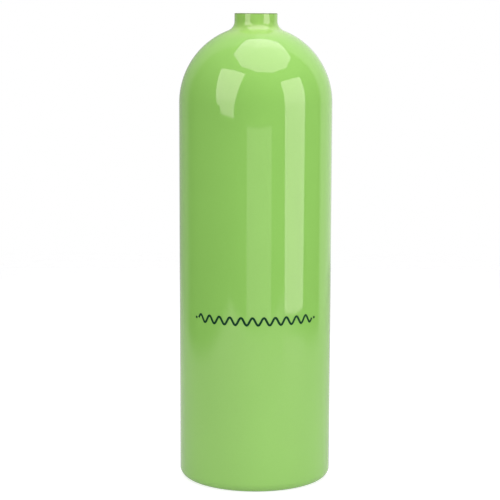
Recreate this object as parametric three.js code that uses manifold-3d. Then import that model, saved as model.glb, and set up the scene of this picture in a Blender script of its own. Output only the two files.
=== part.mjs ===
// A small seamless aluminium breathing-air cylinder without its valve. The M18 x 1.5 neck is closed by a
// transit plug that sits below the neck's face, with an O-ring under its head.
// Millimetres, +Z up. The origin is the centre of the ring that the cylinder stands on.
import * as THREE from "three";
import { mergeVertices } from "three/addons/utils/BufferGeometryUtils.js";
import Module from "manifold-3d";

const wasm = await Module();
wasm.setup();

// Cylinder, outside
const HEIGHT = 340;
const BODY_R = 55.5;
const DOME_BASE_Z = 276; // the shoulder above is a hemisphere of the body's own radius
const NECK_R = 15.5;
const NECK_FILLET_R = 7;
const NECK_EDGE = 0.6; // chamfer round the neck's face
const BASE_CORNER_R = 6;
const DISH_R = 34; // hollow in the underside, inside the standing ring
const DISH_FLAT_R = 17; // level middle of the hollow
const DISH_DEPTH = 2.5;

// Cylinder, inside
const WALL = 7;
const BASE_THICKNESS = 12;
const KNUCKLE_R = 15; // between the wall and the floor
const INNER_DOME_RISE = 38; // less than the inner radius, so the shoulder thickens towards the neck

// Neck thread, M18 x 1.5
const PITCH = 1.5;
const THREAD_MINOR_R = 8.188;
const THREAD_MAJOR_R = 9;
const FLANK = Math.tan(Math.PI / 6); // axial run of a flank for each millimetre of radius
const RELIEF_R = 9.3; // plain bore below the thread
const RELIEF_TOP_Z = 316;
const LEAD_IN = 1.1; // chamfer at each end of the thread

// Seal pocket round the mouth, and the O-ring in it
const POCKET_R = 11.5;
const POCKET_DEPTH = 5;
const POCKET_EDGE = 0.4;
const RING_SECTION_R = 1;
const RING_CENTRE_R = 10;

// Plug
const PLUG_LENGTH = 17.1; // with the head
const HEAD_R = 11.1;
const HEAD_THICKNESS = 2.4;
const HEAD_RECESS = 0.4; // from the neck's face down to the head
const HEAD_EDGE = 0.4;
const SHANK_R = 8.6; // plain length under the head, inside the O-ring
const SHANK_LENGTH = 2.4;
const ROOT_R = 7.9;
const CREST_R = 8.55;
const FLANK_GAP = 0.25; // clearance between the two threads, square to their flanks
const TIP_CHAMFER = 0.9;
const SOCKET_ACROSS_FLATS = 10;
const SOCKET_DEPTH = 7;
const CORE_R = 5.4; // moulded hollow in the tip
const CORE_DEPTH = 7.7;
const CORE_CORNER = 1;

// Facets
const BODY_SEGMENTS = 48;
const THREAD_SEGMENTS = 24; // on the threads and the plain bores beside them
const RING_SIDES = 10;
const CORNER_STEPS = 5; // on each rounded corner of a profile
const DOME_STEPS = 11;
const INNER_DOME_STEPS = 9;

const OVERSHOOT = 1; // how far a cutter runs past the face it leaves by
const RIDGE_FOOTING = 0.3; // how far the plug's ridge is sunk into its shank
const QUARTER = Math.PI / 2;
const POCKET_FLOOR_Z = HEIGHT - POCKET_DEPTH;
const HEAD_TOP_Z = HEIGHT - HEAD_RECESS;
const HEAD_BASE_Z = HEAD_TOP_Z - HEAD_THICKNESS;
const SHANK_END_Z = HEAD_BASE_Z - SHANK_LENGTH;
const TIP_Z = HEAD_TOP_Z - PLUG_LENGTH;
const THREAD_START_Z = RELIEF_TOP_Z - PITCH / 2; // both threads are cut on the helix that starts here

const at = (r, z) => new THREE.Vector2(r, z);

// Points on an ellipse about (r, z), from one angle to another, in equal steps of angle.
function arc(r, z, radiusR, radiusZ, from, to, steps) {
  return Array.from({ length: steps + 1 }, (_, i) => {
    const a = from + ((to - from) * i) / steps;
    return at(r + radiusR * Math.cos(a), z + radiusZ * Math.sin(a));
  });
}

const roundArc = (r, z, radius, from, to, steps) => arc(r, z, radius, radius, from, to, steps);

// A profile of radius and height turned about +Z. It runs from the bottom up, so its faces point out.
function turned(profile, segments) {
  return new THREE.LatheGeometry(profile, segments).rotateX(QUARTER);
}

// The same, with its ends joined to the axis by flat faces.
function turnedSolid(profile, segments) {
  const bottom = at(0, profile[0].y);
  const top = at(0, profile[profile.length - 1].y);
  return solid(turned([bottom, ...profile, top], segments));
}

// A right-hand helical ridge of trapezoidal section about +Z, on the threads' common helix.
// halfWidth gives half its axial width at a radius.
function helicalRidge(innerR, outerR, halfWidth, firstTurn, lastTurn) {
  const turns = lastTurn - firstTurn;
  const g = new THREE.BoxGeometry(1, 1, 1, 1, turns * THREAD_SEGMENTS, 1);
  const p = g.attributes.position;
  for (let i = 0; i < p.count; i++) {
    const r = p.getX(i) > 0 ? outerR : innerR;
    const turn = firstTurn + (p.getY(i) + 0.5) * turns;
    const angle = 2 * Math.PI * turn;
    const side = Math.sign(p.getZ(i)) * halfWidth(r);
    p.setXYZ(i, r * Math.cos(angle), r * Math.sin(angle), THREAD_START_Z + PITCH * turn + side);
  }
  return solid(g);
}

// Between two grooves an internal thread keeps a land of a quarter of the pitch at its minor radius.
const grooveHalfWidth = (r) => (3 / 8) * PITCH - (r - THREAD_MINOR_R) * FLANK;
const ridgeHalfWidth = (r) => grooveHalfWidth(r) - FLANK_GAP * Math.hypot(1, FLANK);
const turnsBelow = (z) => (z - THREAD_START_Z) / PITCH;

// A closed geometry as a manifold-3d solid.
function solid(geometry) {
  const g = geometry.clone();
  g.deleteAttribute("normal");
  g.deleteAttribute("uv");
  const merged = mergeVertices(g);
  return new wasm.Manifold(
    new wasm.Mesh({
      numProp: 3,
      vertProperties: merged.attributes.position.array,
      triVerts: new Uint32Array(merged.index.array),
    }),
  );
}

// A manifold-3d solid as a three.js geometry with flat facets.
function geometryOf(made) {
  const { vertProperties, triVerts } = made.getMesh();
  const shared = new THREE.BufferGeometry();
  shared.setAttribute("position", new THREE.BufferAttribute(vertProperties, 3));
  shared.setIndex(new THREE.BufferAttribute(triVerts, 1));
  const g = shared.toNonIndexed();
  g.computeVertexNormals();
  return g;
}

// One piece of aluminium: extruded as a cup, its shoulder and neck closed in hot, then machined and threaded.
function cylinderShell() {
  // The fillet touches both the hemisphere and the neck.
  const filletCentreR = NECK_R + NECK_FILLET_R;
  const reach = BODY_R + NECK_FILLET_R;
  const lean = Math.asin(filletCentreR / reach);
  const filletZ = DOME_BASE_Z + reach * Math.cos(lean);
  const fillet = roundArc(
    filletCentreR, filletZ, NECK_FILLET_R, -QUARTER - lean, -2 * QUARTER, CORNER_STEPS,
  );
  const cornerCentreR = BODY_R - BASE_CORNER_R;
  const outside = turnedSolid(
    [
      at(DISH_FLAT_R, DISH_DEPTH),
      at(DISH_R, 0),
      ...roundArc(cornerCentreR, BASE_CORNER_R, BASE_CORNER_R, -QUARTER, 0, CORNER_STEPS),
      ...roundArc(0, DOME_BASE_Z, BODY_R, 0, QUARTER - lean, DOME_STEPS),
      ...fillet.slice(1),
      at(NECK_R, HEIGHT - NECK_EDGE),
      at(NECK_R - NECK_EDGE, HEIGHT),
    ],
    BODY_SEGMENTS,
  );
  const innerR = BODY_R - WALL;
  const floorZ = DISH_DEPTH + BASE_THICKNESS;
  const hollow = turnedSolid(
    [
      ...roundArc(innerR - KNUCKLE_R, floorZ + KNUCKLE_R, KNUCKLE_R, -QUARTER, 0, CORNER_STEPS),
      ...arc(0, DOME_BASE_Z, innerR, INNER_DOME_RISE, 0, QUARTER, INNER_DOME_STEPS).slice(0, -1),
    ],
    BODY_SEGMENTS,
  );
  const pocket = turnedSolid(
    [
      at(POCKET_R, POCKET_FLOOR_Z),
      at(POCKET_R, HEIGHT - POCKET_EDGE),
      at(POCKET_R + POCKET_EDGE + OVERSHOOT, HEIGHT + OVERSHOOT),
    ],
    BODY_SEGMENTS,
  );
  const bore = turnedSolid(
    [
      at(RELIEF_R, DOME_BASE_Z),
      at(RELIEF_R, RELIEF_TOP_Z),
      at(THREAD_MINOR_R, RELIEF_TOP_Z + LEAD_IN),
      at(THREAD_MINOR_R, POCKET_FLOOR_Z - LEAD_IN),
      at(THREAD_MINOR_R + LEAD_IN + OVERSHOOT, POCKET_FLOOR_Z + OVERSHOOT),
    ],
    THREAD_SEGMENTS,
  );
  const lastTurn = Math.ceil(turnsBelow(POCKET_FLOOR_Z));
  const groove = helicalRidge(ROOT_R, THREAD_MAJOR_R, grooveHalfWidth, 0, lastTurn);
  return outside.subtract(hollow).subtract(pocket).subtract(bore).subtract(groove);
}

// One nylon moulding: round head with a hex socket, plain shank inside the O-ring, thread and hollow tip.
function neckPlug() {
  const head = turnedSolid(
    [
      at(HEAD_R, HEAD_BASE_Z),
      at(HEAD_R, HEAD_TOP_Z - HEAD_EDGE),
      at(HEAD_R - HEAD_EDGE, HEAD_TOP_Z),
    ],
    BODY_SEGMENTS,
  );
  const shank = turnedSolid(
    [
      at(ROOT_R - TIP_CHAMFER, TIP_Z),
      at(ROOT_R, TIP_Z + TIP_CHAMFER),
      at(ROOT_R, SHANK_END_Z - (SHANK_R - ROOT_R)),
      at(SHANK_R, SHANK_END_Z),
      at(SHANK_R, HEAD_TOP_Z - HEAD_EDGE),
    ],
    THREAD_SEGMENTS,
  );
  // The ridge tapers out at the tip, where this envelope trims it.
  const envelope = turnedSolid(
    [
      at(ROOT_R - TIP_CHAMFER, TIP_Z),
      at(CREST_R, TIP_Z + TIP_CHAMFER + CREST_R - ROOT_R),
      at(CREST_R, SHANK_END_Z),
    ],
    THREAD_SEGMENTS,
  );
  const firstTurn = Math.floor(turnsBelow(TIP_Z));
  const lastTurn = Math.floor(turnsBelow(SHANK_END_Z));
  const ridge = helicalRidge(ROOT_R - RIDGE_FOOTING, CREST_R, ridgeHalfWidth, firstTurn, lastTurn);
  const core = turnedSolid(
    [
      at(CORE_R, TIP_Z - OVERSHOOT),
      at(CORE_R, TIP_Z + CORE_DEPTH - CORE_CORNER),
      at(CORE_R - CORE_CORNER, TIP_Z + CORE_DEPTH),
    ],
    THREAD_SEGMENTS,
  );
  const socketLength = SOCKET_DEPTH + OVERSHOOT;
  const socketR = SOCKET_ACROSS_FLATS / Math.sqrt(3);
  const socket = new THREE.CylinderGeometry(socketR, socketR, socketLength, 6)
    .rotateX(QUARTER)
    .translate(0, 0, HEAD_TOP_Z - SOCKET_DEPTH + socketLength / 2);
  return head.add(shank).add(ridge.intersect(envelope)).subtract(core).subtract(solid(socket));
}

function plugORing() {
  const z = (POCKET_FLOOR_Z + HEAD_BASE_Z) / 2;
  const section = roundArc(RING_CENTRE_R, z, RING_SECTION_R, 0, 4 * QUARTER, RING_SIDES);
  section[RING_SIDES].copy(section[0]);
  return turned(section, BODY_SEGMENTS);
}

function piece(name, geometry, look) {
  const mesh = new THREE.Mesh(geometry, new THREE.MeshStandardMaterial(look));
  mesh.name = name;
  return mesh;
}

const greenPaint = { color: 0x97cb67, roughness: 0.2, metalness: 0 };
const blackNylon = { color: 0x17181a, roughness: 0.55, metalness: 0 };
const nitrile = { color: 0x0c0c0d, roughness: 0.6, metalness: 0 };

const cylinder = new THREE.Group();
cylinder.add(piece("cylinder_shell", geometryOf(cylinderShell()), greenPaint));
cylinder.add(piece("neck_plug", geometryOf(neckPlug()), blackNylon));
cylinder.add(piece("plug_o_ring", plugORing(), nitrile));

export default cylinder;
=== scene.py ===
"""Looks of a bare aluminium breathing-air cylinder whose neck is closed by a recessed nylon plug.

Metres, in the CAD model's frame: +Z up along the cylinder, origin at the centre of its standing ring.
Every piece is a mesh of rings about +Z, and stands for one CAD node or rides on one.
"""
import math

import bmesh
import bpy
from mathutils import Matrix, Vector


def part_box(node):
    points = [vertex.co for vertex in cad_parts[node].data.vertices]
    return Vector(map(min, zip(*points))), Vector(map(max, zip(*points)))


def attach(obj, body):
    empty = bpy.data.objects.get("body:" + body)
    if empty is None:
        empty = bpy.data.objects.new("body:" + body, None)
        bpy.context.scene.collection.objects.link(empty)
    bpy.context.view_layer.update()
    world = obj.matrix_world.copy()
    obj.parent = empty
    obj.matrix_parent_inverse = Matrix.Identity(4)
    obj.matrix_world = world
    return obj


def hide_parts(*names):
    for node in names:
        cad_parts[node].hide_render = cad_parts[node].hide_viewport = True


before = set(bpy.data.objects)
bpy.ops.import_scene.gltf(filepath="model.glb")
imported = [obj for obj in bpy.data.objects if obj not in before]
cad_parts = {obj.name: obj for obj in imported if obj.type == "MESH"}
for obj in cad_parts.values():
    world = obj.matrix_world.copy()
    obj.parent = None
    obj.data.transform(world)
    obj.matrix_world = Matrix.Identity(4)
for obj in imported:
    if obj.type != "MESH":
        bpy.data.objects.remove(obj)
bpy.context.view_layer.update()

MM = 0.001
TAU = 2 * math.pi
QUARTER = math.pi / 2

# Driving dimensions: the outside comes from the frame, and the rest repeats the CAD source.
_, shell_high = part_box("cylinder_shell")
plug_low, plug_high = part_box("neck_plug")
seal_low, seal_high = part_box("plug_o_ring")
HEIGHT = shell_high.z
CAD_R = shell_high.x
INK_THICKNESS = 0.05 * MM
INK_SINK = 0.02 * MM  # how far the ink's strip reaches into the wall
BODY_R = CAD_R - INK_THICKNESS  # leaves room for the printed mark inside the CAD model's box
DOME_BASE_Z = HEIGHT - 64 * MM
NECK_R = 15.5 * MM
NECK_FILLET_R = 7 * MM
NECK_EDGE = 0.6 * MM
BASE_CORNER_R = 6 * MM
DISH_R = 34 * MM
DISH_FLAT_R = 17 * MM
DISH_DEPTH = 2.5 * MM
WALL = 7 * MM
BASE_THICKNESS = 12 * MM
KNUCKLE_R = 15 * MM
INNER_DOME_RISE = 38 * MM

PITCH = 1.5 * MM
THREAD_MINOR_R = 8.188 * MM
THREAD_MAJOR_R = 9 * MM
FLANK = math.tan(math.pi / 6)
RELIEF_R = 9.3 * MM
RELIEF_TOP_Z = HEIGHT - 24 * MM
LEAD_IN = 1.1 * MM
THREAD_START_Z = RELIEF_TOP_Z - PITCH / 2
POCKET_R = 11.5 * MM
POCKET_FLOOR_Z = HEIGHT - 5 * MM
POCKET_EDGE = 0.4 * MM

HEAD_R = plug_high.x
HEAD_TOP_Z = plug_high.z
TIP_Z = plug_low.z
HEAD_THICKNESS = 2.4 * MM
HEAD_BASE_Z = HEAD_TOP_Z - HEAD_THICKNESS
SHANK_LENGTH = 2.4 * MM
SHANK_END_Z = HEAD_BASE_Z - SHANK_LENGTH
SHANK_FILLET = 0.3 * MM
SHANK_R = 8.6 * MM
ROOT_R = 7.9 * MM
CREST_R = 8.55 * MM
FLANK_GAP = 0.25 * MM
TIP_CHAMFER = 0.9 * MM
HEAD_EDGE = 0.4 * MM
HEAD_LOWER_EDGE = 0.2 * MM
HEAD_GROOVE_RADII = (9.6 * MM, 9.45 * MM, 9 * MM, 8.85 * MM)
HEAD_GROOVE_DEPTH = 0.12 * MM
SOCKET_ACROSS_FLATS = 10 * MM
SOCKET_DEPTH = 7 * MM
SOCKET_EDGE = 0.35 * MM
SOCKET_FLOOR_EDGE = 0.3 * MM
SOCKET_SURROUND_R = 7 * MM
SOCKET_DIMPLE_R = 2 * MM
SOCKET_DIMPLE_DEPTH = 0.3 * MM
CORE_R = 5.4 * MM
CORE_DEPTH = 7.7 * MM
CORE_EDGE = 1 * MM
CORE_LIP = 0.3 * MM

RING_CENTRE_R = 10 * MM
RING_SECTION_R = 1 * MM
RING_FLASH = 0.03 * MM

MARK_Z = 0.367 * HEIGHT
MARK_SWING = math.radians(46.5)  # how far the wave reaches to each side of the front
MARK_CRESTS = 11
MARK_AMPLITUDE = 2.6 * MM
MARK_STROKE = 1.6 * MM
DASH_GAP = 1.6 * MM
DASH_LENGTH = 1.8 * MM
POINTS_PER_CREST = 24

SEGMENTS = 144  # facets round every piece, so that a hexagon's corners fall on vertices
ROWS_PER_PITCH = 12
MERGE_DISTANCE = 1e-7
SHARP_ANGLE = math.radians(32)

# ---------------------------------------------------------------- meshes of rings


def arc(r, z, radius_r, radius_z, start, end, steps):
    """(r, z) points on an ellipse about (r, z), in equal steps of angle."""
    angles = [start + (end - start) * i / steps for i in range(steps + 1)]
    return [(r + radius_r * math.cos(a), z + radius_z * math.sin(a)) for a in angles]


def line(start, end, steps):
    """(r, z) points that divide a straight line."""
    (r0, z0), (r1, z1) = start, end
    return [(r0 + (r1 - r0) * i / steps, z0 + (z1 - z0) * i / steps) for i in range(steps + 1)]


class RingMesh:
    """A mesh built row by row about +Z. Each row has SEGMENTS + 1 points, and merging joins its ends."""

    def __init__(self):
        self.rows = []
        self.finishes = []

    def row(self, radius, height, finish):
        """Adds a row. radius and height are numbers, or functions of the share of a turn from 0 to 1."""
        shares = [i / SEGMENTS for i in range(SEGMENTS + 1)]
        points = []
        for share in shares:
            r = radius(share) if callable(radius) else radius
            z = height(share) if callable(height) else height
            angle = TAU * (share % 1)
            points.append(Vector((r * math.cos(angle), r * math.sin(angle), z)))
        self.rows.append(points)
        self.finishes.append(finish)

    def outline(self, points, finish):
        for r, z in points:
            self.row(r, z, finish)

    def made(self, name, materials, closed=False):
        """The object. A row on the axis becomes a pole, and points that coincide become one."""
        bm = bmesh.new()
        layers = [[bm.verts.new(p) for p in row] for row in self.rows]
        pairs = list(zip(layers, layers[1:], self.finishes[1:]))
        if closed:
            pairs.append((layers[-1], layers[0], self.finishes[0]))
        for low, high, finish in pairs:
            for i in range(SEGMENTS):
                face = bm.faces.new((low[i], low[i + 1], high[i + 1], high[i]))
                face.material_index = finish
                face.smooth = True
        bmesh.ops.remove_doubles(bm, verts=bm.verts, dist=MERGE_DISTANCE)
        bmesh.ops.dissolve_degenerate(bm, edges=bm.edges, dist=MERGE_DISTANCE)
        bmesh.ops.recalc_face_normals(bm, faces=bm.faces)
        mesh = bpy.data.meshes.new(name)
        bm.to_mesh(mesh)
        bm.free()
        for material in materials:
            mesh.materials.append(material)
        mesh.set_sharp_from_angle(angle=SHARP_ANGLE)
        piece = bpy.data.objects.new(name, mesh)
        bpy.context.scene.collection.objects.link(piece)
        return piece


def thread_rows(low_z, high_z, half_width, base_r, tip_r, limits):
    """Rows of a right-hand thread that climb with its helix, from the lowest to the highest.

    half_width gives half the ridge's or groove's axial width at a radius, and limits gives the least and
    most radius at a height. A row that would leave the thread's length stays on its end.
    Returns (radius, height) pairs of functions.
    """
    base_half, tip_half = half_width(base_r), half_width(tip_r)
    first = math.floor((low_z - THREAD_START_Z) / PITCH) - 1
    last = math.ceil((high_z - THREAD_START_Z) / PITCH) + 1

    def profile(offset):
        """The thread's radius at an axial offset from the middle of its ridge or groove."""
        share = (base_half - abs(offset)) / (base_half - tip_half)
        return base_r + (tip_r - base_r) * min(1.0, max(0.0, share))

    land = (PITCH - 2 * base_half) / 2
    breaks = [-PITCH / 2, -base_half, -tip_half, tip_half, base_half, PITCH / 2]
    counts = [2, 3, 2, 3, 2]
    offsets = []
    for start, end, count in zip(breaks, breaks[1:], counts):
        offsets += [start + (end - start) * i / count for i in range(count)]
    assert land > 0 and len(offsets) == ROWS_PER_PITCH

    def pair(turn, offset):
        def height(share):
            z = THREAD_START_Z + (turn + share) * PITCH + offset
            return min(high_z, max(low_z, z))

        def radius(share):
            least, most = limits(height(share))
            return min(most, max(least, profile(offset)))

        return radius, height

    rows = [pair(turn, offset) for turn in range(first, last) for offset in offsets]
    return [(r, z) for r, z in rows if z(0) < high_z and z(1) > low_z]


def groove_half_width(r):
    return 3 / 8 * PITCH - (r - THREAD_MINOR_R) * FLANK


def ridge_half_width(r):
    return groove_half_width(r) - FLANK_GAP * math.hypot(1, FLANK)


def bore_limits(z):
    """The chamfers at both ends of the neck's thread open the bore."""
    from_ends = min(z - RELIEF_TOP_Z, POCKET_FLOOR_Z - z)
    return max(THREAD_MINOR_R, THREAD_MINOR_R + LEAD_IN - from_ends), THREAD_MAJOR_R + LEAD_IN


def shank_limits(z):
    """The tip's chamfer trims the plug's thread, and the plain shank ends it."""
    least = max(0.0, SHANK_R - max(0.0, SHANK_END_Z - z))
    return least, max(least, ROOT_R - TIP_CHAMFER + (z - TIP_Z))


def hexagon(across_flats):
    """The radius of a hexagon at a share of a turn, with a corner at the twelfth part."""
    def radius(share):
        from_flat = ((share * 6 + 0.5) % 1 - 0.5) * TAU / 6
        return across_flats / 2 / math.cos(from_flat)

    return radius


# ---------------------------------------------------------------- pieces

PAINT, MACHINED, RAW = 0, 1, 2


def make_cylinder(materials):
    m = RingMesh()
    # Underside, dished inside the standing ring
    m.outline(line((0, DISH_DEPTH), (DISH_FLAT_R, DISH_DEPTH), 6), PAINT)
    m.outline(line((DISH_FLAT_R, DISH_DEPTH), (DISH_R, 0), 10)[1:], PAINT)
    corner_r = BODY_R - BASE_CORNER_R
    m.outline(line((DISH_R, 0), (corner_r, 0), 6)[1:], PAINT)
    m.outline(arc(corner_r, BASE_CORNER_R, BASE_CORNER_R, BASE_CORNER_R, -QUARTER, 0, 14)[1:], PAINT)
    # Wall and hemisphere, then the fillet that touches both the hemisphere and the neck
    m.outline(line((BODY_R, BASE_CORNER_R), (BODY_R, DOME_BASE_Z), 24)[1:], PAINT)
    fillet_r = NECK_R + NECK_FILLET_R
    reach = BODY_R + NECK_FILLET_R
    lean = math.asin(fillet_r / reach)
    fillet_z = DOME_BASE_Z + reach * math.cos(lean)
    m.outline(arc(0, DOME_BASE_Z, BODY_R, BODY_R, 0, QUARTER - lean, 44)[1:], PAINT)
    turn = (fillet_r, fillet_z, NECK_FILLET_R, NECK_FILLET_R, -QUARTER - lean, -2 * QUARTER, 18)
    m.outline(arc(*turn)[1:], PAINT)
    m.outline(line((NECK_R, fillet_z), (NECK_R, HEIGHT - NECK_EDGE), 6)[1:], PAINT)
    edge = (NECK_R - NECK_EDGE, HEIGHT - NECK_EDGE, NECK_EDGE, NECK_EDGE, 0, QUARTER, 6)
    m.outline(arc(*edge)[1:], PAINT)
    # Neck face, seal pocket and threaded bore
    m.outline(line((NECK_R - NECK_EDGE, HEIGHT), (POCKET_R + POCKET_EDGE, HEIGHT), 6)[1:], MACHINED)
    m.outline([(POCKET_R, HEIGHT - POCKET_EDGE), (POCKET_R, POCKET_FLOOR_Z)], MACHINED)
    bore = thread_rows(
        RELIEF_TOP_Z, POCKET_FLOOR_Z, groove_half_width, THREAD_MINOR_R, THREAD_MAJOR_R, bore_limits
    )
    m.row(THREAD_MINOR_R + LEAD_IN, POCKET_FLOOR_Z, MACHINED)
    for radius, height in reversed(bore):
        m.row(radius, height, MACHINED)
    m.row(THREAD_MINOR_R + LEAD_IN, RELIEF_TOP_Z, MACHINED)
    m.row(RELIEF_R, RELIEF_TOP_Z, MACHINED)
    # Inside
    inner_r = BODY_R - WALL
    floor_z = DISH_DEPTH + BASE_THICKNESS
    mouth = math.acos(RELIEF_R / inner_r)
    m.outline(arc(0, DOME_BASE_Z, inner_r, INNER_DOME_RISE, mouth, 0, 30), RAW)
    knuckle_r = inner_r - KNUCKLE_R
    m.outline(line((inner_r, DOME_BASE_Z), (inner_r, floor_z + KNUCKLE_R), 12)[1:], RAW)
    m.outline(arc(knuckle_r, floor_z + KNUCKLE_R, KNUCKLE_R, KNUCKLE_R, 0, -QUARTER, 12)[1:], RAW)
    m.outline(line((knuckle_r, floor_z), (0, floor_z), 6)[1:], RAW)
    return m.made("cylinder", materials)


def make_plug(material):
    m = RingMesh()
    core_top_z = TIP_Z + CORE_DEPTH
    # Hollow tip
    inner_r, inner_z = CORE_R - CORE_EDGE, core_top_z - CORE_EDGE
    m.outline(line((0, core_top_z), (inner_r, core_top_z), 4), 0)
    m.outline(arc(inner_r, inner_z, CORE_EDGE, CORE_EDGE, QUARTER, 0, 6)[1:], 0)
    m.outline(line((CORE_R, inner_z), (CORE_R, TIP_Z + CORE_LIP), 6)[1:], 0)
    m.row(CORE_R + CORE_LIP, TIP_Z, 0)
    # Thread
    tip_r = ROOT_R - TIP_CHAMFER
    m.row(tip_r, TIP_Z, 0)
    thread = thread_rows(TIP_Z, SHANK_END_Z, ridge_half_width, ROOT_R, CREST_R, shank_limits)
    for radius, height in thread:
        m.row(radius, height, 0)
    # Shank, head and hex socket
    fillet_r, fillet_z = SHANK_R + SHANK_FILLET, HEAD_BASE_Z - SHANK_FILLET
    m.outline(line((SHANK_R, SHANK_END_Z), (SHANK_R, fillet_z), 4), 0)
    m.outline(arc(fillet_r, fillet_z, SHANK_FILLET, SHANK_FILLET, math.pi, QUARTER, 4)[1:], 0)
    rim_r, rim_z = HEAD_R - HEAD_LOWER_EDGE, HEAD_BASE_Z + HEAD_LOWER_EDGE
    m.outline(arc(rim_r, rim_z, HEAD_LOWER_EDGE, HEAD_LOWER_EDGE, -QUARTER, 0, 4), 0)
    crown_r, crown_z = HEAD_R - HEAD_EDGE, HEAD_TOP_Z - HEAD_EDGE
    m.outline(arc(crown_r, crown_z, HEAD_EDGE, HEAD_EDGE, 0, QUARTER, 6), 0)
    # A shallow moulded groove between the edge and the socket
    for r, drop in zip(HEAD_GROOVE_RADII, (0, HEAD_GROOVE_DEPTH, HEAD_GROOVE_DEPTH, 0)):
        m.row(r, HEAD_TOP_Z - drop, 0)
    m.row(SOCKET_SURROUND_R, HEAD_TOP_Z, 0)
    wall = hexagon(SOCKET_ACROSS_FLATS)
    m.row(hexagon(SOCKET_ACROSS_FLATS + 2 * SOCKET_EDGE), HEAD_TOP_Z, 0)
    m.row(wall, HEAD_TOP_Z - SOCKET_EDGE, 0)
    floor_z = HEAD_TOP_Z - SOCKET_DEPTH
    m.row(wall, floor_z + SOCKET_FLOOR_EDGE, 0)
    m.row(hexagon(SOCKET_ACROSS_FLATS - 2 * SOCKET_FLOOR_EDGE), floor_z, 0)
    # The gate's dimple in the socket's floor
    m.row(SOCKET_DIMPLE_R, floor_z, 0)
    m.row(0, floor_z - SOCKET_DIMPLE_DEPTH, 0)
    return m.made("transit_plug", [material])


def make_seal(material):
    """A round section with the fine flash line that a two-part mould leaves inside and outside."""
    m = RingMesh()
    z = (seal_low.z + seal_high.z) / 2
    steps = 40
    for i in range(steps):
        angle = TAU * i / steps
        r = RING_SECTION_R if i in (0, steps // 2) else RING_SECTION_R - RING_FLASH
        m.row(RING_CENTRE_R + r * math.cos(angle), z + r * math.sin(angle), 0)
    return m.made("seal_ring", [material], closed=True)


def make_mark(material):
    """A plain wave between two dashes, wrapped round the front of the wall as a thin film of ink."""
    inner_r, outer_r = BODY_R - INK_SINK, BODY_R + INK_THICKNESS
    bm = bmesh.new()

    def on_wall(along, up, r):
        angle = along / BODY_R - QUARTER
        return Vector((r * math.cos(angle), r * math.sin(angle), MARK_Z + up))

    def stroke_along(path):
        """A closed strip of the stroke's width along (along, up) points."""
        sections = []
        for i, (x, y) in enumerate(path):
            x0, y0 = path[max(0, i - 1)]
            x1, y1 = path[min(len(path) - 1, i + 1)]
            run = math.hypot(x1 - x0, y1 - y0)
            nx, ny = -(y1 - y0) / run * MARK_STROKE / 2, (x1 - x0) / run * MARK_STROKE / 2
            corners = [(nx, outer_r), (-nx, outer_r), (-nx, inner_r), (nx, inner_r)]
            heights = [ny, -ny, -ny, ny]
            section = [
                bm.verts.new(on_wall(x + dx, y + dy, r)) for (dx, r), dy in zip(corners, heights)
            ]
            sections.append(section)
        for a, b in zip(sections, sections[1:]):
            for k in range(4):
                bm.faces.new((a[k], b[k], b[(k + 1) % 4], a[(k + 1) % 4]))
        bm.faces.new(sections[0])
        bm.faces.new(reversed(sections[-1]))

    reach = MARK_SWING * BODY_R
    points = MARK_CRESTS * POINTS_PER_CREST
    wave = []
    for i in range(points + 1):
        share = i / points
        wave.append((reach * (2 * share - 1), MARK_AMPLITUDE * math.sin(TAU * MARK_CRESTS * share)))
    stroke_along(wave)
    for side in (-1, 1):
        stroke_along([(side * (reach + DASH_GAP + DASH_LENGTH * i / 4), 0) for i in range(5)])
    bmesh.ops.recalc_face_normals(bm, faces=bm.faces)
    mesh = bpy.data.meshes.new("printed_mark")
    bm.to_mesh(mesh)
    bm.free()
    mesh.materials.append(material)
    piece = bpy.data.objects.new("printed_mark", mesh)
    bpy.context.scene.collection.objects.link(piece)
    return piece


# ---------------------------------------------------------------- materials

TOOL_FEED = 0.25 * MM  # between the rings that the lathe's tool leaves


class Graph:
    """A node tree, with short calls for the nodes that the finishes and lights use."""

    def __init__(self, owner):
        owner.use_nodes = True
        self.tree = owner.node_tree

    def add(self, kind, **settings):
        node = self.tree.nodes.new(kind)
        for key, value in settings.items():
            setattr(node, key, value)
        return node

    def put(self, socket, value):
        """Links an output to the socket, or sets the socket's own value."""
        if isinstance(value, bpy.types.NodeSocket):
            self.tree.links.new(value, socket)
        else:
            socket.default_value = value

    def maths(self, operation, a, b=0.0, c=0.0):
        node = self.add("ShaderNodeMath", operation=operation)
        for socket, value in zip(node.inputs, (a, b, c)):
            self.put(socket, value)
        return node.outputs[0]

    def mapped(self, value, low, high, to_low=0.0, to_high=1.0):
        node = self.add("ShaderNodeMapRange", interpolation_type="SMOOTHSTEP")
        for key, v in (("Value", value), ("From Min", low), ("From Max", high),
                       ("To Min", to_low), ("To Max", to_high)):
            self.put(node.inputs[key], v)
        return node.outputs["Result"]

    def mixed(self, share, a, b):
        node = self.add("ShaderNodeMix", data_type="RGBA")
        self.put(node.inputs[0], share)
        self.put(node.inputs[6], a)
        self.put(node.inputs[7], b)
        return node.outputs[2]

    def split(self, vector):
        node = self.add("ShaderNodeSeparateXYZ")
        self.put(node.inputs[0], vector)
        return node.outputs[0], node.outputs[1], node.outputs[2]


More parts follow.
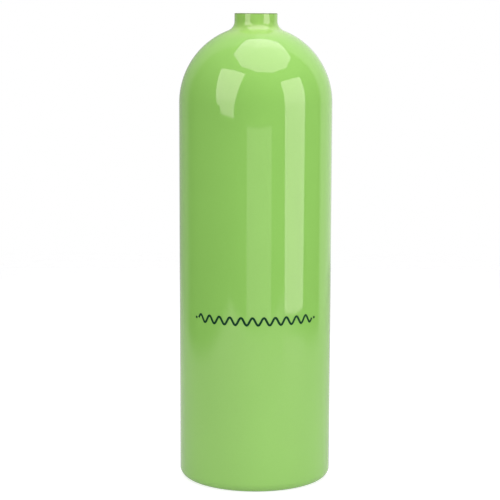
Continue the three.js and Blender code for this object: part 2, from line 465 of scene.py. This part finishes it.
class Finish(Graph):
    """A material's node tree about its Principled shader, laid out in the object's own coordinates."""

    def __init__(self, name, **shader):
        self.material = bpy.data.materials.new(name)
        super().__init__(self.material)
        self.shader = self.tree.nodes["Principled BSDF"]
        for socket, value in shader.items():
            self.shader.inputs[socket.replace("_", " ")].default_value = value
        self.place = self.add("ShaderNodeTexCoord").outputs["Object"]

    def noise(self, scale, detail=3.0, roughness=0.5, place=None):
        node = self.add("ShaderNodeTexNoise")
        self.put(node.inputs["Vector"], place or self.place)
        node.inputs["Scale"].default_value = scale
        node.inputs["Detail"].default_value = detail
        node.inputs["Roughness"].default_value = roughness
        return node.outputs["Fac"]

    def height(self):
        """The point's height, and its distance from the axis."""
        x, y, z = self.split(self.place)
        squares = [self.maths("POWER", v, 2.0) for v in (x, y)]
        return z, self.maths("SQRT", self.maths("ADD", *squares))

    def bump(self, height, distance, strength=1.0, normal=None):
        node = self.add("ShaderNodeBump")
        self.put(node.inputs["Height"], height)
        node.inputs["Distance"].default_value = distance
        node.inputs["Strength"].default_value = strength
        if normal is not None:
            self.put(node.inputs["Normal"], normal)
        return node.outputs["Normal"]

    def finish(self, **inputs):
        for socket, value in inputs.items():
            self.put(self.shader.inputs[socket.replace("_", " ")], value)
        return self.material


def paint_material():
    """Glossy lime-green enamel with faint orange peel, a slight drift of shade, wear at its ends, a
    painted shade line round the neck's edge and a little painted light on the neck.
    """
    n = Finish("green_enamel", IOR=1.6, Specular_Tint=(1, 0.80, 0.84, 1))
    z, _ = n.height()
    drift = n.mapped(n.noise(9.0, 2.0), 0.3, 0.7)
    fine = n.mapped(n.noise(900.0, 2.0), 0.35, 0.65)
    base = n.mixed(drift, (0.262, 0.544, 0.110, 1), (0.275, 0.566, 0.117, 1))
    base = n.mixed(n.maths("MULTIPLY", fine, 0.05), base, (0.34, 0.64, 0.16, 1))
    # Thinner and so a little paler on the neck
    # Painted light: the neck is painted a little paler, where the light overhead falls on it more brightly
    neck_light_mask = n.mapped(z, HEIGHT - 20 * MM, HEIGHT - 11 * MM)
    base = n.mixed(n.maths("MULTIPLY", neck_light_mask, 0.065), base, (1.0, 0.93, 0.35, 1))
    # Painted shade: a darker, duller line painted round the neck's rounded edge, where it would catch the
    # light overhead. Scuffs to bare metal there and on the standing ring
    rim_shade_mask = n.mapped(z, HEIGHT - 0.9 * MM, HEIGHT - 0.45 * MM)
    base = n.mixed(n.maths("MULTIPLY", rim_shade_mask, 0.85), base, (0.125, 0.205, 0.06, 1))
    on_ring = n.mapped(z, 0.9 * MM, 0.1 * MM)
    chipped = n.maths("MULTIPLY", n.mapped(z, HEIGHT - 0.3 * MM, HEIGHT - 0.05 * MM), 0.6)
    scuffs = n.mapped(n.noise(330.0, 6.0, 0.68), 0.51, 0.60)
    worn = n.maths("MULTIPLY", n.maths("MAXIMUM", on_ring, chipped), scuffs)
    colour = n.mixed(worn, base, (0.62, 0.63, 0.62, 1))
    haze = n.mapped(n.noise(35.0, 4.0, 0.6), 0.35, 0.7, 0.025, 0.05)
    dull = n.maths("MULTIPLY", n.maths("MAXIMUM", worn, rim_shade_mask), 0.45)
    rough = n.maths("MAXIMUM", haze, dull)
    metal = n.maths("MULTIPLY", worn, 0.9)
    peel = n.bump(n.noise(260.0, 1.0, 0.4), 0.002 * MM)
    grain = n.maths("SUBTRACT", n.noise(2600.0, 2.0), n.maths("MULTIPLY", worn, 4.0))
    normal = n.bump(grain, 0.001 * MM, 1.0, peel)
    return n.finish(Base_Color=colour, Roughness=rough, Metallic=metal, Normal=normal)


def machined_material():
    """Turned aluminium: fine rings from the tool, and a few handling marks."""
    n = Finish("machined_aluminium", Metallic=1.0)
    z, r = n.height()
    wobble = n.noise(60.0, 2.0)
    along = n.maths("ADD", r, z)
    rings = n.maths("SINE", n.maths("MULTIPLY_ADD", along, TAU / TOOL_FEED, wobble))
    cloud = n.mapped(n.noise(220.0, 4.0), 0.3, 0.7)
    colour = n.mixed(cloud, (0.42, 0.425, 0.43, 1), (0.54, 0.545, 0.55, 1))
    rough = n.mapped(n.noise(500.0, 3.0), 0.3, 0.7, 0.44, 0.56)
    return n.finish(Base_Color=colour, Roughness=rough, Normal=n.bump(rings, 0.0015 * MM))


def raw_material():
    """Extruded aluminium inside the bottle: dull, drawn lengthways, slightly oxidised."""
    n = Finish("raw_aluminium", Metallic=1.0)
    stretched = n.add("ShaderNodeMapping")
    n.put(stretched.inputs["Vector"], n.place)
    stretched.inputs["Scale"].default_value = (1, 1, 0.03)
    streaks = n.noise(900.0, 3.0, place=stretched.outputs["Vector"])
    cloud = n.mapped(n.noise(40.0, 4.0), 0.3, 0.7)
    colour = n.mixed(cloud, (0.50, 0.51, 0.52, 1), (0.66, 0.67, 0.67, 1))
    rough = n.mapped(streaks, 0.3, 0.7, 0.42, 0.6)
    return n.finish(Base_Color=colour, Roughness=rough, Normal=n.bump(streaks, 0.01 * MM))


def nylon_material():
    """Black moulded nylon: fine spark-eroded texture, paler where a key has rubbed it."""
    n = Finish("black_nylon", IOR=1.53)
    grain = n.noise(1500.0, 3.0, 0.6)
    cloud = n.mapped(n.noise(130.0, 4.0), 0.35, 0.7)
    colour = n.mixed(cloud, (0.012, 0.0125, 0.014, 1), (0.024, 0.025, 0.027, 1))
    _, r = n.height()
    near_socket = n.mapped(r, 7.2 * MM, 5.9 * MM)
    rubbed = n.maths("MULTIPLY", near_socket, n.mapped(n.noise(700.0, 5.0, 0.7), 0.48, 0.62))
    colour = n.mixed(n.maths("MULTIPLY", rubbed, 0.5), colour, (0.09, 0.09, 0.095, 1))
    rough = n.mapped(grain, 0.3, 0.7, 0.38, 0.55)
    return n.finish(Base_Color=colour, Roughness=rough, Normal=n.bump(grain, 0.02 * MM, 0.6))


def nitrile_material():
    """Black nitrile rubber with a thin film of grease and a trace of bloom."""
    n = Finish("nitrile", IOR=1.52)
    bloom = n.mapped(n.noise(380.0, 5.0, 0.65), 0.45, 0.7)
    colour = n.mixed(bloom, (0.010, 0.010, 0.011, 1), (0.030, 0.030, 0.031, 1))
    rough = n.mapped(n.noise(260.0, 3.0), 0.3, 0.7, 0.3, 0.55)
    normal = n.bump(n.noise(3000.0, 2.0), 0.006 * MM, 0.5)
    return n.finish(Base_Color=colour, Roughness=rough, Normal=normal)


def ink_material():
    """Dark green screen-printing ink, slightly uneven where the mesh laid it down."""
    n = Finish("dark_green_ink", IOR=1.3, Specular_Tint=(0.4, 0.8, 0.5, 1))
    cover = n.mapped(n.noise(700.0, 3.0), 0.3, 0.7)
    colour = n.mixed(cover, (0.0035, 0.030, 0.012, 1), (0.006, 0.046, 0.018, 1))
    rough = n.mapped(n.noise(1200.0, 2.0), 0.3, 0.7, 0.32, 0.45)
    normal = n.bump(n.noise(2500.0, 2.0), 0.003 * MM)
    return n.finish(Base_Color=colour, Roughness=rough, Normal=normal)


# ---------------------------------------------------------------- stage, light and camera

# Glows and luminances are radiances: a surface that sends out 1.0 looks just white.
FLOOR_REACH = 1.2
FLOOR_DROP = 0.05 * MM  # just clear of the standing ring
FLOOR_GLOW = 0.29
FLOOR_GLOW_SEEN = 0.45  # more for the camera, so that the table meets its white surroundings
CEILING = 0.18
WALLS = [(110, 117, 0.77), (125, 165, 0.10), (-112, -130, 0.46)]
OCTAGON = 0.99  # across its flats
OCTAGON_PLACE = (0.152, -0.218, HEIGHT + 0.72)
OCTAGON_TURN = math.radians(8)  # about the vertical
FACED = (0, 0, 0.6 * HEIGHT)  # the point that a light looks at, unless it says otherwise
CAMERA_PLACE = (-0.0039, -1.1882, HEIGHT)
CAMERA_LENS = 117.8  # mm
CAMERA_SENSOR = 36  # mm wide
CAMERA_DOWN = 0.1438  # radians below level
CAMERA_ROLL = 0.0027


def make_floor():
    """A pale, faintly lit table that fades out before its edges."""
    n = Finish("pale_floor", IOR=1.45)
    x, y, _ = n.split(n.place)
    mottle = n.mapped(n.noise(14.0, 3.0), 0.3, 0.7)
    colour = n.mixed(mottle, (0.44, 0.44, 0.44, 1), (0.46, 0.46, 0.46, 1))
    n.finish(Base_Color=colour, Roughness=n.mapped(mottle, 0, 1, 0.75, 0.85))
    n.shader.inputs["Emission Color"].default_value = (1, 1, 1, 1)
    seen = n.add("ShaderNodeLightPath").outputs["Is Camera Ray"]
    glow = n.maths("MULTIPLY_ADD", seen, FLOOR_GLOW_SEEN, FLOOR_GLOW)
    n.put(n.shader.inputs["Emission Strength"], glow)
    edges = [(x, -0.60, -0.42), (x, 0.68, 0.50), (y, -0.74, -0.62), (y, 1.15, 0.8)]
    inside = 1.0
    for value, outer, inner in edges:
        inside = n.maths("MULTIPLY", n.mapped(value, outer, inner), inside)
    n.put(n.shader.inputs["Alpha"], inside)
    bm = bmesh.new()
    bmesh.ops.create_grid(bm, size=FLOOR_REACH)
    mesh = bpy.data.meshes.new("floor")
    bm.to_mesh(mesh)
    bm.free()
    mesh.materials.append(n.material)
    floor = bpy.data.objects.new("floor", mesh)
    floor.location.z = -FLOOR_DROP
    bpy.context.scene.collection.objects.link(floor)


def make_world():
    """A white room to the camera. As light, only its ceiling and walls glow.

    WALLS holds the bearing where a wall's glow starts, the bearing where it is full, and how strong it is.
    Bearings run from 0 at the front to 180 behind, and are positive to the camera's right.
    """
    world = bpy.data.worlds.new("studio")
    bpy.context.scene.world = world
    g = Graph(world)
    g.tree.nodes.clear()
    x, y, z = g.split(g.add("ShaderNodeTexCoord").outputs["Generated"])
    bearing = g.maths("ARCTAN2", x, g.maths("MULTIPLY", y, -1.0))
    glow = g.mapped(z, 0.2, 0.9, 0.0, CEILING)
    for start, full, luminance in WALLS:
        wall = g.mapped(bearing, math.radians(start), math.radians(full), 0.0, luminance)
        glow = g.maths("ADD", wall, glow)
    lit, seen = g.add("ShaderNodeBackground"), g.add("ShaderNodeBackground")
    g.put(lit.inputs["Color"], (1, 1, 1, 1))
    g.put(lit.inputs["Strength"], glow)
    g.put(seen.inputs["Color"], (1, 1, 1, 1))
    mix = g.add("ShaderNodeMixShader")
    g.put(mix.inputs[0], g.add("ShaderNodeLightPath").outputs["Is Camera Ray"])
    g.put(mix.inputs[1], lit.outputs[0])
    g.put(mix.inputs[2], seen.outputs[0])
    g.put(g.add("ShaderNodeOutputWorld").inputs[0], mix.outputs[0])


def softbox(name, low, high, width, luminance, profile=None, faces=FACED, tint=(1, 1, 1)):
    """A rectangular area light whose lower and upper edges have their middles at low and high.

    It is turned about the line between them until it looks towards the point it faces. profile takes the
    light's nodes and the place across and up its face, each from -0.5 to 0.5, and returns a share of the
    luminance.
    """
    low, high = Vector(low), Vector(high)
    up = (high - low).normalized()
    middle = (low + high) / 2
    ahead = Vector(faces) - middle
    back = -(ahead - ahead.project(up)).normalized()
    across = up.cross(back)
    light = bpy.data.lights.new(name, "AREA")
    light.shape = "RECTANGLE"
    light.size = width
    light.size_y = (high - low).length
    light.energy = math.pi * width * light.size_y * luminance
    light.color = tint
    if profile:
        g = Graph(light)
        u, v, _ = g.split(g.add("ShaderNodeNewGeometry").outputs["Parametric"])
        share = profile(g, g.maths("SUBTRACT", u, 0.5), g.maths("SUBTRACT", v, 0.5))
        g.put(g.tree.nodes["Emission"].inputs["Strength"], share)
    lamp = bpy.data.objects.new(name, light)
    turn = Matrix((across, up, back)).transposed().to_4x4()
    lamp.matrix_world = Matrix.Translation(middle) @ turn
    lamp.visible_camera = False
    bpy.context.scene.collection.objects.link(lamp)
    return lamp


def at_bearing(degrees, distance, z):
    """A point at a bearing from the front, positive to the camera's right."""
    a = math.radians(degrees)
    return distance * math.sin(a), -distance * math.cos(a), z


def octagon(g, u, v):
    """An octagonal face with a small bright lamp in its middle."""
    sides = g.maths("ADD", g.maths("ABSOLUTE", u), g.maths("ABSOLUTE", v))
    squares = [g.maths("POWER", w, 2.0) for w in (u, v)]
    from_middle = g.maths("SQRT", g.maths("ADD", *squares))
    lamp = g.mapped(from_middle, 0.035, 0.02, 1.0, 1.25)
    return g.maths("MULTIPLY", g.mapped(sides, 0.712, 0.702), lamp)


def brighter_top(g, u, v):
    """Brighter in its upper part."""
    return g.mapped(v, -0.20, 0.10, 0.74, 1.0)


def cut_corner(g, u, v):
    """Brighter above, with a slightly sloping foot and one lower corner folded away."""
    fold = g.mapped(g.maths("MULTIPLY_ADD", v, 2.02, u), -1.27, -1.25)
    foot = g.mapped(g.maths("MULTIPLY_ADD", v, 40.3, u), -19.69, -19.61)
    shape = g.maths("MULTIPLY", fold, foot)
    return g.maths("MULTIPLY", g.mapped(v, -0.4, -0.1, 0.78, 1.0), shape)


def make_lights():
    """Two tall boxes, a faint card in front and an octagon overhead, as the photo's reflections show."""
    low, high = at_bearing(58.4, 0.62, 0.024), at_bearing(58.1, 0.498, 0.577)
    softbox("right_box", low, high, 0.340, 3.78, brighter_top)
    low, high = at_bearing(-44.9, 1.250, 0.194), at_bearing(-44.9, 0.608, 0.911)
    softbox("left_box", low, high, 0.577, 3.64, cut_corner)
    low, high = at_bearing(5, 0.6, 0.02), at_bearing(5, 0.6, 0.2235)
    softbox("front_card", low, high, 0.38, 0.94)
    # The octagon lies level overhead
    turn = Matrix.Rotation(OCTAGON_TURN, 3, "Z")
    middle = Vector(OCTAGON_PLACE)
    reach = turn @ Vector((0, 0.5 * OCTAGON, 0))
    low, high = middle - reach, middle + reach
    floor_below = (middle.x, middle.y, 0)
    softbox("top_box", low, high, OCTAGON, 2.82, octagon, floor_below, tint=(1, 0.885, 1.05))


def make_camera():
    """Level with the neck's face, looking down to the middle of the object."""
    camera = bpy.data.cameras.new("camera")
    camera.sensor_width = CAMERA_SENSOR
    camera.lens = CAMERA_LENS
    holder = bpy.data.objects.new("camera", camera)
    turn = Matrix.Rotation(QUARTER - CAMERA_DOWN, 4, "X") @ Matrix.Rotation(CAMERA_ROLL, 4, "Z")
    holder.matrix_world = Matrix.Translation(CAMERA_PLACE) @ turn
    bpy.context.scene.collection.objects.link(holder)
    bpy.context.scene.camera = holder


# ---------------------------------------------------------------- assembly

cylinder = make_cylinder([paint_material(), machined_material(), raw_material()])
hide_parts("cylinder_shell")
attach(cylinder, "cylinder")

mark = make_mark(ink_material())
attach(mark, "cylinder")

plug = make_plug(nylon_material())
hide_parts("neck_plug")
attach(plug, "plug")

seal = make_seal(nitrile_material())
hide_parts("plug_o_ring")
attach(seal, "seal")

make_floor()
make_world()
make_lights()
make_camera()

scene = bpy.context.scene
scene.view_settings.view_transform = "Standard"
scene.view_settings.look = "None"
